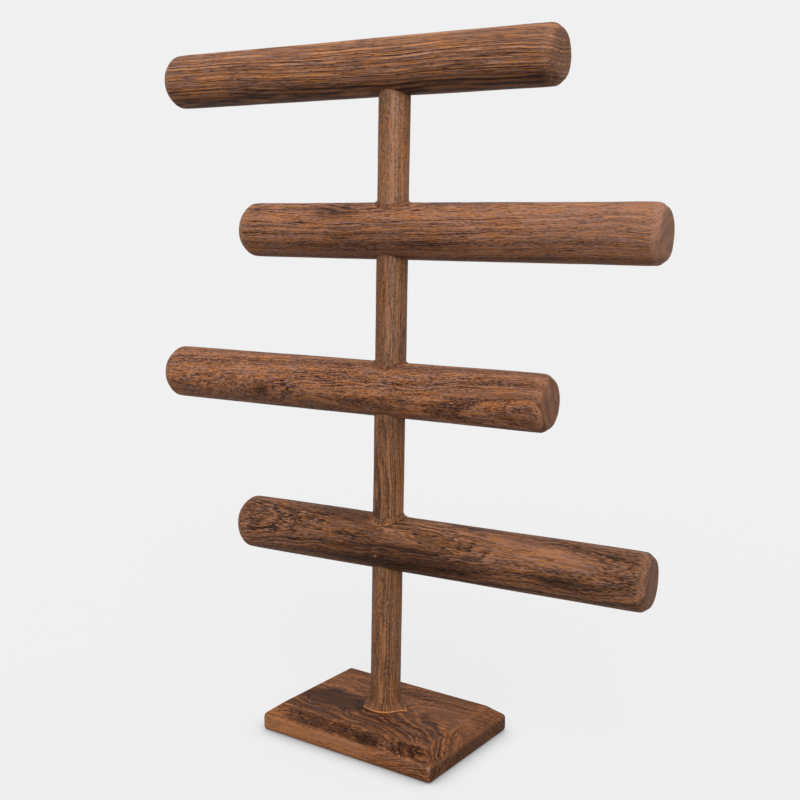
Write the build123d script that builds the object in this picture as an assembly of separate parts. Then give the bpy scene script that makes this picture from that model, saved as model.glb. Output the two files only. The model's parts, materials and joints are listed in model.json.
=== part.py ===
from build123d import *
from dataclasses import dataclass
from math import sqrt
import os

# Free-standing wooden stand: a bevelled base board, one upright round post and four round
# horizontal bars, set off to the left and to the right in turn. All sizes are in millimetres and
# all angles in degrees. The origin is at the centre of the board's underside, on the post's axis.
# +X runs along the bars, +Z is up and the front is at -Y.

# Base board
BOARD_LENGTH = 118.0
BOARD_WIDTH = 85.0
BOARD_THICKNESS = 16.0
BOARD_BEVEL_RUN = 8.5
BOARD_BEVEL_DROP = 6.6
BOARD_CORNER_RADIUS = 3.0
BOARD_EDGE_SOFTNESS = 0.7
BOARD_TURN = -4.5

# Post, with its foot on the socket's floor and its end under the top bar's cover of wood
POST_DIAMETER = 18.0
POST_END_CHAMFER = 0.8
SOCKET_FLOOR = 6.0
TOP_COVER = 8.0

# Bars
BAR_DIAMETER = 32.0
LONG_ARM = 156.5
SHORT_ARM = 98.5
BOTTOM_BAR_HEIGHT = 115.5
BAR_SPACING = 89.5
BAR_END_CHAMFER_LENGTH = 3.8
BAR_END_CHAMFER_DEPTH = 2.9
BAR_END_SOFTNESS = 1.2

# Small turns of the bars about the post, as they were set by hand
TOP_BAR_TURN = -0.8
SECOND_BAR_TURN = 0.3
THIRD_BAR_TURN = 0.1
BOTTOM_BAR_TURN = 1.6

# Glued joints: the gap round the post in its bores and the beads of glue where it leaves them
GLUE_GAP = 0.1
FOOT_BEAD_WIDTH = 3.6
FOOT_BEAD_HEIGHT = 3.8
FOOT_BEAD_LIP = 0.25
BAR_BEAD_SIZE = 2.0

# Brads, driven from the front through each bar into the post, below the bar's axis
BRAD_DIAMETER = 1.25
BRAD_LENGTH = 20.0
BRAD_TIP_LENGTH = 2.0
BRAD_TIP_DIAMETER = 0.3
BRAD_DROP = 5.0
BRAD_SET_DEPTH = 1.2
FILLER_DIAMETER = 1.8

# Countersunk wood screw, driven from below through the board into the post
SCREW_DIAMETER = 4.0
SCREW_LENGTH = 38.0
SCREW_TIP_LENGTH = 6.0
SCREW_TIP_DIAMETER = 0.8
SCREW_HOLE_CLEARANCE = 0.25
SCREW_HEAD_DIAMETER = 8.0
SCREW_HEAD_RIM = 0.4
SCREW_HEAD_RECESS = 0.6
CROSS_SLOT_LENGTH = 4.4
CROSS_SLOT_WIDTH = 0.9
CROSS_SLOT_DEPTH = 1.5

post_radius = POST_DIAMETER / 2
bar_radius = BAR_DIAMETER / 2
bore_radius = post_radius + GLUE_GAP
brad_front = -sqrt(bar_radius**2 - BRAD_DROP**2)
screw_radius = SCREW_DIAMETER / 2
screw_head_radius = SCREW_HEAD_DIAMETER / 2
screw_rim_top = SCREW_HEAD_RECESS + SCREW_HEAD_RIM
screw_cone_top = screw_rim_top + screw_head_radius - screw_radius


@dataclass(frozen=True)
class Tier:
    """One bar's place on the post: its level from the bottom, its long side and its turn."""

    name: str
    level: int
    long_side: int
    turn: float

    @property
    def height(self) -> float:
        """Height of the bar's axis."""
        return BOTTOM_BAR_HEIGHT + self.level * BAR_SPACING

    @property
    def place(self) -> Location:
        """Frame of the bar: its origin where the bar's axis meets the post's."""
        return Location((0, 0, self.height), (0, 0, self.turn))


TOP_TIER = Tier("top_bar", 3, -1, TOP_BAR_TURN)
LOWER_TIERS = (
    Tier("second_bar", 2, 1, SECOND_BAR_TURN),
    Tier("third_bar", 1, -1, THIRD_BAR_TURN),
    Tier("bottom_bar", 0, 1, BOTTOM_BAR_TURN),
)
TIERS = (TOP_TIER, *LOWER_TIERS)
post_top = TOP_TIER.height + bar_radius - TOP_COVER


def upright_cylinder(radius: float, bottom: float, top: float) -> Part:
    """A cylinder on the post's axis, between two heights."""
    return Pos(0, 0, (bottom + top) / 2) * Cylinder(radius, top - bottom)


def turned(*corners: tuple[float, float]) -> Part:
    """A solid turned about Z from the (radius, height) corners of its half section."""
    outline = Polyline(*[(radius, 0, height) for radius, height in corners], close=True)
    return revolve(make_face(outline), Axis.Z)


def make_screw() -> Part:
    """The wood screw with its head down and its thread as a plain shank."""
    tip_end = SCREW_HEAD_RECESS + SCREW_LENGTH
    screw = turned(
        (0, SCREW_HEAD_RECESS),
        (screw_head_radius, SCREW_HEAD_RECESS),
        (screw_head_radius, screw_rim_top),
        (screw_radius, screw_cone_top),
        (screw_radius, tip_end - SCREW_TIP_LENGTH),
        (SCREW_TIP_DIAMETER / 2, tip_end),
        (0, tip_end),
    )
    slot = Pos(0, 0, SCREW_HEAD_RECESS) * Box(CROSS_SLOT_LENGTH, CROSS_SLOT_WIDTH, 2 * CROSS_SLOT_DEPTH)
    return screw - slot - Rot(0, 0, 90) * slot


def make_board() -> Part:
    """The base board with its bevelled top, the post's socket and the countersunk screw hole."""
    side_height = BOARD_THICKNESS - BOARD_BEVEL_DROP
    footprint = RectangleRounded(BOARD_LENGTH, BOARD_WIDTH, BOARD_CORNER_RADIUS)
    top_length = BOARD_LENGTH - 2 * BOARD_BEVEL_RUN
    top_width = BOARD_WIDTH - 2 * BOARD_BEVEL_RUN
    top_face = RectangleRounded(top_length, top_width, BOARD_CORNER_RADIUS)
    side = extrude(footprint, side_height)
    bevel = loft([Pos(0, 0, side_height) * footprint, Pos(0, 0, BOARD_THICKNESS) * top_face], ruled=True)
    board = side + bevel
    board = fillet(board.edges().filter_by(Plane.XY), BOARD_EDGE_SOFTNESS)

    socket = upright_cylinder(bore_radius, SOCKET_FLOOR, BOARD_THICKNESS)
    screw_hole = upright_cylinder(screw_radius + SCREW_HOLE_CLEARANCE, 0, SOCKET_FLOOR)
    countersink = turned(
        (0, 0),
        (screw_head_radius, 0),
        (screw_head_radius, screw_rim_top),
        (screw_radius, screw_cone_top),
        (0, screw_cone_top),
    )
    return Rot(0, 0, BOARD_TURN) * (board - socket - screw_hole - countersink)


def make_bar_blank(long_side: int) -> Part:
    """A whole bar along X in its own frame, with soft chamfered ends."""
    half_length = (LONG_ARM + SHORT_ARM) / 2
    end_radius = bar_radius - BAR_END_CHAMFER_DEPTH
    shoulder = half_length - BAR_END_CHAMFER_LENGTH
    blank = turned(
        (0, -half_length),
        (end_radius, -half_length),
        (bar_radius, -shoulder),
        (bar_radius, shoulder),
        (end_radius, half_length),
        (0, half_length),
    )
    blank = fillet(blank.edges().filter_by(GeomType.CIRCLE), BAR_END_SOFTNESS)
    return Pos(long_side * (LONG_ARM - SHORT_ARM) / 2, 0, 0) * Rot(0, 90, 0) * blank


def along_brad(solid: Part, depth: float) -> Part:
    """A solid built up along Z, laid along the brad's line from a depth under the bar's front."""
    return Pos(0, brad_front + depth, -BRAD_DROP) * Rot(-90, 0, 0) * solid


def make_brad() -> Part:
    """A brad in its bar's frame, its head set below the bar's surface."""
    brad = turned(
        (0, 0),
        (BRAD_DIAMETER / 2, 0),
        (BRAD_DIAMETER / 2, BRAD_LENGTH - BRAD_TIP_LENGTH),
        (BRAD_TIP_DIAMETER / 2, BRAD_LENGTH),
        (0, BRAD_LENGTH),
    )
    return along_brad(brad, BRAD_SET_DEPTH)


def make_filler(blank: Part) -> Part:
    """The plug of filler over a brad's head, flush with the bar's round front."""
    plug = upright_cylinder(FILLER_DIAMETER / 2, -FILLER_DIAMETER, BRAD_SET_DEPTH)
    return along_brad(plug, 0) & blank


def make_foot_bead() -> Part:
    """The bead of glue and filler round the post's foot, with a hollow face."""
    outer = post_radius + FOOT_BEAD_WIDTH
    top = BOARD_THICKNESS + FOOT_BEAD_HEIGHT
    face_start = (outer, 0, BOARD_THICKNESS + FOOT_BEAD_LIP)
    face_middle = (
        outer - (FOOT_BEAD_WIDTH - FOOT_BEAD_LIP) * sqrt(0.5),
        0,
        top - (FOOT_BEAD_HEIGHT - FOOT_BEAD_LIP) * sqrt(0.5),
    )
    face_end = (post_radius + FOOT_BEAD_LIP, 0, top)
    hollow_face = ThreePointArc(face_start, face_middle, face_end)
    seat = Polyline(
        face_end,
        (post_radius, 0, top),
        (post_radius, 0, BOARD_THICKNESS),
        (outer, 0, BOARD_THICKNESS),
        face_start,
    )
    return revolve(make_face([hollow_face, seat]), Axis.Z)


def make_bar_bead(blank: Part) -> Part:
    """The saddle-shaped bead of glue where the post leaves a bar's top, in the bar's frame."""
    stub = upright_cylinder(post_radius, 0, bar_radius + 2 * BAR_BEAD_SIZE)
    joined = blank + stub
    seam_front = (0, -post_radius, sqrt(bar_radius**2 - post_radius**2))
    seam = joined.edges().sort_by_distance(seam_front)[0]
    return fillet(seam, BAR_BEAD_SIZE) - blank - stub


def make_post(driven: list[Part]) -> Part:
    """The post with the holes that the screw and the brads make in it."""
    post = upright_cylinder(post_radius, SOCKET_FLOOR, post_top)
    post = chamfer(post.edges().filter_by(GeomType.CIRCLE), POST_END_CHAMFER)
    for fastener in driven:
        post -= fastener
    return post


def make_pieces() -> dict[str, Part | Compound]:
    """Every piece of the stand in its place, by the name of its node."""
    pieces = {"base_board": make_board(), "base_screw": make_screw(), "foot_glue_bead": make_foot_bead()}
    brads = []
    fillers = []
    for tier in TIERS:
        blank = make_bar_blank(tier.long_side)
        brad = make_brad()
        filler = make_filler(blank)
        bore_top = post_top - tier.height if tier is TOP_TIER else bar_radius
        bore = upright_cylinder(bore_radius, -bar_radius, bore_top)
        pieces[tier.name] = tier.place * (blank - bore - brad - filler)
        brads.append(tier.place * brad)
        fillers.append(tier.place * filler)
    for tier in LOWER_TIERS:
        bead = make_bar_bead(make_bar_blank(tier.long_side))
        pieces[f"{tier.name}_glue_bead"] = tier.place * bead
    pieces["joint_brads"] = Compound(children=brads)
    pieces["brad_hole_fillers"] = Compound(children=fillers)
    pieces["post"] = make_post([pieces["base_screw"], *brads])
    return pieces


def main() -> None:
    """Build the stand and write one file for each node."""
    os.makedirs("parts", exist_ok=True)
    for name, piece in make_pieces().items():
        piece.label = name
        export_step(piece, f"parts/{name}.step")
        print(f"{name}: {len(piece.solids())} solid(s), {piece.volume:.1f} mm3")


if __name__ == "__main__":
    main()
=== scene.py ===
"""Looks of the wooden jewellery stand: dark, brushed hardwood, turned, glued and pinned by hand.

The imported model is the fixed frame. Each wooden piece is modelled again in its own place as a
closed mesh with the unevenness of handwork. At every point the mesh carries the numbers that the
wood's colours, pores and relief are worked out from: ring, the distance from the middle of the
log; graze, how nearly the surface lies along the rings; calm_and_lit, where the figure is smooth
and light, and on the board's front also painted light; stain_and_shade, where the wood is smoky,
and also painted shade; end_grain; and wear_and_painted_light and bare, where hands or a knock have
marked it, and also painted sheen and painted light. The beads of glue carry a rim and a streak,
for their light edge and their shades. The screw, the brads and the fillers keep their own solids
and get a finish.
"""

import json
import logging
import math
from dataclasses import dataclass
from enum import Enum
from functools import reduce
from typing import Any

import bpy
import numpy as np
from mathutils import Matrix, Vector


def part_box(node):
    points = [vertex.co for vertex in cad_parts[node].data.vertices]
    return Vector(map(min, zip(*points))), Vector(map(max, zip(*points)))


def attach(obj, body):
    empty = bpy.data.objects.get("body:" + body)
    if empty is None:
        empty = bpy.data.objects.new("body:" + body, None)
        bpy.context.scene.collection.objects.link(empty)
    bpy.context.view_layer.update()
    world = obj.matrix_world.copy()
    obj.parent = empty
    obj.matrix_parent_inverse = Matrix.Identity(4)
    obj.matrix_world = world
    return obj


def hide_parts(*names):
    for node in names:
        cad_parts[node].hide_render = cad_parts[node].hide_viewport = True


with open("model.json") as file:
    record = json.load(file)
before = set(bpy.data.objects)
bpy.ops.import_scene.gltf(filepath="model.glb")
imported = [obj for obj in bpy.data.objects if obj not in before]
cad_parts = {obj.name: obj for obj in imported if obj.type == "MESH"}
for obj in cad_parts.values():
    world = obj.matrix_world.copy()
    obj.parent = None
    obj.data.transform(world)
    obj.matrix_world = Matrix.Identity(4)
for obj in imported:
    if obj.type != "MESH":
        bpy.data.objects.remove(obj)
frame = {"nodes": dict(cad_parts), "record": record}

log = logging.getLogger("jewellery_stand")

MM = 0.001
TURN = 2.0 * math.pi
BODY = "root"
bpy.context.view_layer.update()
WHITE = (1.0, 1.0, 1.0)

# In millimetres: the gap round the post in its bores, and the small ring that a round end closes at.
BORE_CLEARANCE = 0.1
POLE_RADIUS = 0.6
# The line down the post that faces where the stand is seen from, as an angle round the post.
# The post's painted sheen runs down it, and the glue's light edge shows on that side.
FRONT = math.radians(-60.0)

Array = np.ndarray
Colour = tuple[float, float, float]
Point = tuple[float, float]
Socket = bpy.types.NodeSocket
Tree = bpy.types.NodeTree
Material = bpy.types.Material
Piece = bpy.types.Object


# Node trees


class Sheet:
    """A node tree that is being filled in."""

    def __init__(self, tree: Tree) -> None:
        """Start on a tree, which may already hold nodes."""
        self.tree = tree

    def feed(self, socket: Socket, value: Any) -> None:
        """Give an input its value.

        Args:
            socket: the input.
            value: another node's output, a number, a vector or a colour.
        """
        if isinstance(value, Socket):
            self.tree.links.new(value, socket)
        elif socket.type == "RGBA" and len(value) == 3:
            socket.default_value = (*value, 1.0)
        else:
            socket.default_value = value

    def node(self, kind: str, inputs: dict[str | int, Any] | None = None, **settings: Any) -> bpy.types.Node:
        """Add a node.

        Args:
            kind: the node's type.
            inputs: values by the input's name or place.
            **settings: the node's own properties.

        Returns:
            The new node.
        """
        node = self.tree.nodes.new(kind)
        for name, value in settings.items():
            setattr(node, name, value)
        for key, value in (inputs or {}).items():
            self.feed(node.inputs[key], value)
        return node

    def math(self, operation: str, *values: Any, clamp: bool = False) -> Socket:
        """Combine numbers with a Math node, and keep the result between 0 and 1 if it is clamped."""
        inputs = dict(enumerate(values))
        return self.node("ShaderNodeMath", inputs, operation=operation, use_clamp=clamp).outputs[0]

    def times(self, first: Any, second: Any, clamp: bool = False) -> Socket:
        """Multiply two numbers."""
        return self.math("MULTIPLY", first, second, clamp=clamp)

    def plus(self, total: Any, amount: Any, weight: Any, clamp: bool = False) -> Socket:
        """Add an amount times its weight to a total."""
        return self.math("MULTIPLY_ADD", amount, weight, total, clamp=clamp)

    def add(self, *values: Any) -> Socket:
        """Add numbers up, from the first on."""
        return reduce(lambda total, value: self.math("ADD", total, value), values)

    def vector(self, operation: str, *values: Any) -> Socket:
        """Combine vectors with a Vector Math node and return the resulting vector."""
        return self.node("ShaderNodeVectorMath", dict(enumerate(values)), operation=operation).outputs[0]

    def xyz(self, x: Any, y: Any, z: Any) -> Socket:
        """Make a vector of three numbers."""
        return self.node("ShaderNodeCombineXYZ", {"X": x, "Y": y, "Z": z}).outputs[0]

    def mix(self, amount: Any, first: Any, second: Any, blend: str = "MIX") -> Socket:
        """Lay a second colour over a first, by an amount from 0 to 1."""
        inputs = {0: amount, 6: first, 7: second}
        return self.node("ShaderNodeMix", inputs, data_type="RGBA", blend_type=blend).outputs[2]

    def between(self, value: Any, low: Any, high: Any, start: float = 0.0, end: float = 1.0) -> Socket:
        """Pass smoothly from start to end while a value goes from low to high."""
        inputs = {"Value": value, "From Min": low, "From Max": high, "To Min": start, "To Max": end}
        return self.node("ShaderNodeMapRange", inputs, interpolation_type="SMOOTHSTEP").outputs["Result"]

    def noise(self, place: Any, detail: float, roughness: float) -> Socket:
        """Noise about 0.5 with features one unit across, in three dimensions."""
        inputs = {"Vector": place, "Scale": 1.0, "Detail": detail, "Roughness": roughness}
        return self.node("ShaderNodeTexNoise", inputs, noise_dimensions="3D").outputs["Fac"]

    def noise_line(self, place: Any, detail: float, roughness: float = 0.5) -> Socket:
        """Noise about 0.5 with features one unit long, along a line."""
        inputs = {"W": place, "Scale": 1.0, "Detail": detail, "Roughness": roughness}
        return self.node("ShaderNodeTexNoise", inputs, noise_dimensions="1D").outputs["Fac"]

    def stored(self, name: str) -> Socket:
        """A number that the piece's mesh carries, and 0 where it carries none."""
        return self.node("ShaderNodeAttribute", attribute_name=name).outputs["Fac"]

    def mapped(self, place: Any, scale: Any, rotation: Any = (0.0, 0.0, 0.0)) -> Socket:
        """A place turned and scaled by a Mapping node."""
        inputs = {"Vector": place, "Rotation": rotation, "Scale": scale}
        return self.node("ShaderNodeMapping", inputs).outputs[0]

    def group(self, tree: Tree, inputs: dict[str, Any]) -> Any:
        """Place a shared group, give it its values and return its outputs."""
        return self.node("ShaderNodeGroup", inputs, node_tree=tree).outputs

    def seen_by(self, *rays: str) -> Socket:
        """Tell rays of some kinds from the others.

        Args:
            *rays: the kinds of ray, as Light Path names them.

        Returns:
            1 for rays of these kinds and 0 for the others, as the largest of the kinds' own marks.
        """
        path = self.node("ShaderNodeLightPath").outputs
        marks = [path[f"Is {ray} Ray"] for ray in rays]
        return reduce(lambda seen, mark: self.math("MAXIMUM", seen, mark), marks)


SOCKET_KINDS = {"number": "NodeSocketFloat", "colour": "NodeSocketColor", "vector": "NodeSocketVector"}


def new_group(name: str, inputs: dict[str, str], outputs: dict[str, str]) -> tuple[Sheet, Any, Any]:
    """Start a shader node group with named sockets.

    Args:
        name: the group's name.
        inputs: the kind of each input: number, colour or vector.
        outputs: the kind of each output.

    Returns:
        The group's sheet, its input node's outputs and its output node's inputs.
    """
    tree = bpy.data.node_groups.new(name, "ShaderNodeTree")
    for direction, sockets in (("INPUT", inputs), ("OUTPUT", outputs)):
        for socket_name, kind in sockets.items():
            tree.interface.new_socket(socket_name, in_out=direction, socket_type=SOCKET_KINDS[kind])
    sheet = Sheet(tree)
    return sheet, sheet.node("NodeGroupInput").outputs, sheet.node("NodeGroupOutput").inputs


def new_material(name: str) -> tuple[Material, Sheet]:
    """Start a material.

    Args:
        name: the material's name.

    Returns:
        The material and the sheet of its node tree.
    """
    material = bpy.data.materials.new(name)
    material.use_nodes = True
    return material, Sheet(material.node_tree)


def finish_surface(
    sheet: Sheet, colour: Socket, roughness: Socket, height: Socket, relief: float, gloss: float
) -> Any:
    """Join a material's colour, roughness and relief to its shader.

    Args:
        sheet: the material's sheet.
        colour: the surface's colour.
        roughness: its roughness.
        height: how far each point stands proud, from 0 to 1.
        relief: how deep the relief is, in millimetres.
        gloss: the specular level.

    Returns:
        The shader's inputs.
    """
    inputs = sheet.tree.nodes["Principled BSDF"].inputs
    bump = sheet.node("ShaderNodeBump", {"Strength": 1.0, "Distance": relief * MM, "Height": height})
    sheet.feed(inputs["Base Color"], colour)
    sheet.feed(inputs["Roughness"], roughness)
    sheet.feed(inputs["Normal"], bump.outputs["Normal"])
    inputs["Specular IOR Level"].default_value = gloss
    return inputs


# The sockets of the grain group and the wear group bear the names of the numbers that a mesh
# carries and of a wood finish's fields.
GRAIN_VALUES = ("ring", "graze", "calm_and_lit", "stain_and_shade", "end_grain")
GRAIN_SIZES = (
    "seed", "waver", "band_width", "band_amount", "fine_spacing", "fine_amount", "line_spacing",
    "line_amount", "dash_length", "dash_width", "dash_amount", "fleck_length", "fleck_width",
    "fleck_amount", "fibre_amount", "pore_amount",
)
GRAIN_COLOURS = ("dark", "ground", "light", "line")
WEAR_VALUES = ("wear_and_painted_light", "bare")

# Layers of noise in the grain: a feature's length along the grain and its width across it, in
# millimetres, then the noise's start, and its detail and roughness where they aren't plain.
SLOW_WAVER = (18.0, 3.0, 0.0)
FIBRES = (12.0, 0.4, 3.1, 2.0, 0.65)
PATCHES = (46.0, 9.0, 5.7, 2.0, 0.55)
LINE_RUNS = (26.0, 2.5, 1.9)
HUES = (13.0, 1.1, 4.7, 2.0, 0.6)
PORES = (4.0, 0.36, 9.1)

# The tones over which the wood goes from dark to ground and from ground to light.
DARK_TONES = (-0.26, -0.01)
LIGHT_TONES = (0.0, 0.24)
# How far calm_and_lit, stain_and_shade, the veil of a stain and a line's furrow lift or lower the
# tone; the first two also carry painted light and painted shade.
CALM_AND_LIT_TONE, STAIN_AND_SHADE_TONE, VEIL_TONE, FURROW_TONE = 0.10, -0.11, 0.20, -0.12
PORE_COLOUR = (0.020, 0.010, 0.008)
# The colour that smoky stains and painted shade multiply the wood by.
SMOKE_AND_SHADE_COLOUR = (0.45, 0.42, 0.40)
END_GRAIN_SHADE = (0.80, 0.80, 0.80)
BARE_WOOD = (0.36, 0.25, 0.18)
# Each colour is multiplied by the greyest tint, and by as much of the change as its hue noise says.
GREYEST_TINT = (0.86, 1.02, 1.41)
TINT_CHANGE = (0.27, -0.035, -0.80)
# The speckle of wear and painted light: its scale along and across the grain, and the noise over
# which it comes in on rubbed wood and painted light, and on bare wood.
SPECKLE_SCALE = (0.7, 1.5, 1.5)
RUBBED_AND_LIT_SPECKLE = (0.38, 0.60)
BARE_SPECKLE = (0.42, 0.52)


def build_grain_group() -> Tree:
    """Wood grain: growth lines broken into dashes, dark pores, smooth flames and smoky stains.

    Position is in millimetres with the grain along X. Ring is the distance from the middle of the
    log, and graze says how nearly the surface lies along the rings. Ring wavers a little by noise
    that is stretched along the grain, and wavers more where the surface grazes. Bands and fine
    lines are noise along that wavering distance alone, so they are long lines where the surface
    cuts the rings steeply and short dashes where it grazes them. A light line lies where a coarser
    noise crosses the middle, with a dark furrow beside it. Streaks of noise tint the wood between a
    greyer and an oranger brown. calm_and_lit smooths the figure to its light colour, and on the
    board's front it is painted light. stain_and_shade darkens it with smoky stains and with painted
    shade, and what it has above 1 also veils the figure. Relief is high on the lines and low in the
    pores.
    what it has above 1 also veils the figure. Relief is high on the lines and low in the pores.

    Returns:
        The node group.
    """
    inputs = {"position": "vector", **dict.fromkeys(GRAIN_VALUES + GRAIN_SIZES, "number")}
    inputs.update(dict.fromkeys(GRAIN_COLOURS, "colour"))
    outputs = {"colour": "colour", "roughness": "number", "relief": "number"}
    sheet, given, result = new_group("Wood grain", inputs, outputs)
    seed, stain_and_shade = given["seed"], given["stain_and_shade"]
    place = sheet.vector("ADD", given["position"], sheet.xyz(seed, seed, seed))

    def layer(length: Any, width: Any, start: float, detail: float = 1.0, roughness: float = 0.5) -> Socket:
        """Noise whose features have a length along the grain and a width across it, in millimetres."""
        stretched = sheet.vector("DIVIDE", place, sheet.xyz(length, width, width))
        return sheet.noise(sheet.vector("ADD", stretched, (start, start, start)), detail, roughness)

    def centred(value: Any, weight: Any) -> Socket:
        """A noise value about 0 instead of 0.5, times its weight."""
        return sheet.times(sheet.math("SUBTRACT", value, 0.5), weight)

    def stripe(value: Any, middle: float, reach: float, drawn: Any) -> Socket:
        """A stripe where a value is at its middle, gone a reach away, as strong as it is drawn."""
        gap = sheet.math("ABSOLUTE", sheet.math("SUBTRACT", value, middle))
        return sheet.times(sheet.between(gap, reach, 0.03), drawn, clamp=True)

    def shaded(colour: Any, amount: Any, shade: Colour) -> Socket:
        """A colour multiplied by a shade, by an amount from 0 to 1."""
        return sheet.mix(amount, colour, sheet.mix(1.0, colour, shade, "MULTIPLY"))

    slow = layer(*SLOW_WAVER)
    quick = layer(given["dash_length"], given["dash_width"], 7.3)
    breaking = sheet.times(sheet.plus(0.35, given["graze"], 2.2), given["dash_amount"])
    waver = sheet.times(centred(slow, 1.0), given["waver"])
    ring = sheet.add(waver, centred(quick, breaking), sheet.add(given["ring"], seed))

    band = sheet.noise_line(sheet.math("DIVIDE", ring, given["band_width"]), 2.0)
    fine = sheet.noise_line(sheet.math("DIVIDE", ring, given["fine_spacing"]), 1.5, 0.6)
    line = sheet.noise_line(sheet.math("DIVIDE", ring, given["line_spacing"]), 0.0)
    fleck = layer(given["fleck_length"], given["fleck_width"], 2.3)
    fibre = layer(*FIBRES)
    patch = layer(*PATCHES)
    run = layer(*LINE_RUNS)

    calm_and_lit = sheet.times(given["calm_and_lit"], sheet.between(fleck, 0.30, 0.50, 0.80, 1.0), clamp=True)
    veil = sheet.math("SUBTRACT", stain_and_shade, 1.0, clamp=True)
    lively = sheet.math("SUBTRACT", 1.0, sheet.math("MAXIMUM", sheet.times(calm_and_lit, 0.9), veil))
    drawn = sheet.times(sheet.between(run, 0.36, 0.56), sheet.times(given["line_amount"], lively))
    edge = stripe(line, 0.5, 0.11, drawn)
    furrow = stripe(line, 0.66, 0.12, drawn)

    tone = sheet.add(
        sheet.times(centred(fine, given["fine_amount"]), lively),
        sheet.times(centred(fleck, given["fleck_amount"]), lively),
        centred(band, given["band_amount"]),
        centred(fibre, given["fibre_amount"]),
        centred(patch, 0.35),
    )
    changes = ((calm_and_lit, CALM_AND_LIT_TONE), (stain_and_shade, STAIN_AND_SHADE_TONE), (veil, VEIL_TONE), (furrow, FURROW_TONE))
    for amount, weight in changes:
        tone = sheet.plus(tone, amount, weight)

    colour = sheet.mix(sheet.between(tone, *DARK_TONES), given["dark"], given["ground"])
    colour = sheet.mix(sheet.between(tone, *LIGHT_TONES), colour, given["light"])
    colour = sheet.mix(sheet.times(edge, 0.85), colour, given["line"])
    hue = sheet.between(layer(*HUES), 0.3, 0.7)
    colour = sheet.vector("MULTIPLY", colour, sheet.vector("MULTIPLY_ADD", hue, TINT_CHANGE, GREYEST_TINT))

    start = sheet.math("SUBTRACT", 0.70, sheet.times(given["pore_amount"], 0.12))
    pore = sheet.between(layer(*PORES), start, sheet.add(start, 0.05))
    pore = sheet.times(pore, lively)
    colour = sheet.mix(sheet.times(pore, 0.85), colour, PORE_COLOUR)
    smoke_and_shade = sheet.times(stain_and_shade, sheet.between(patch, 0.25, 0.6, 0.6, 1.0), clamp=True)
    colour = shaded(shaded(colour, smoke_and_shade, SMOKE_AND_SHADE_COLOUR), given["end_grain"], END_GRAIN_SHADE)

    relief = sheet.plus(sheet.times(edge, 0.25), fibre, 0.5)
    relief = sheet.math("SUBTRACT", sheet.plus(relief, tone, 0.6), sheet.times(pore, 0.30))
    sheet.feed(result["colour"], colour)
    sheet.feed(result["roughness"], sheet.plus(sheet.plus(0.52, pore, 0.15), fibre, 0.14))
    sheet.feed(result["relief"], relief)
    return sheet.tree


def build_wear_group() -> Tree:
    """Wear and painted light: rubbed edges, painted sheen and painted light turn paler and duller
    in a broken speckle, and a chip shows bare wood.

    Returns:
        The node group.
    """
    inputs = {"position": "vector", **dict.fromkeys(WEAR_VALUES, "number")}
    inputs.update({"colour": "colour", "roughness": "number", "rubbed_and_lit": "colour"})
    sheet, given, result = new_group("Wear and painted light", inputs, {"colour": "colour", "roughness": "number"})
    speckle = sheet.noise(sheet.mapped(given["position"], SPECKLE_SCALE), 3.0, 0.7)
    rubbed_and_lit = sheet.times(given["wear_and_painted_light"], sheet.between(speckle, *RUBBED_AND_LIT_SPECKLE), clamp=True)
    bare = sheet.times(given["bare"], sheet.between(speckle, *BARE_SPECKLE), clamp=True)
    colour = sheet.mix(rubbed_and_lit, given["colour"], given["rubbed_and_lit"])
    sheet.feed(result["colour"], sheet.mix(bare, colour, BARE_WOOD))
    sheet.feed(result["roughness"], sheet.plus(given["roughness"], rubbed_and_lit, 0.15, clamp=True))
    return sheet.tree


# Finishes


class GrainRun(Enum):
    """Which way a piece's grain runs, as the turn that brings it onto X."""

    LEVEL = (0.0, 0.0, 0.0)
    UPRIGHT = (0.0, math.radians(90.0), 0.0)


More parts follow.
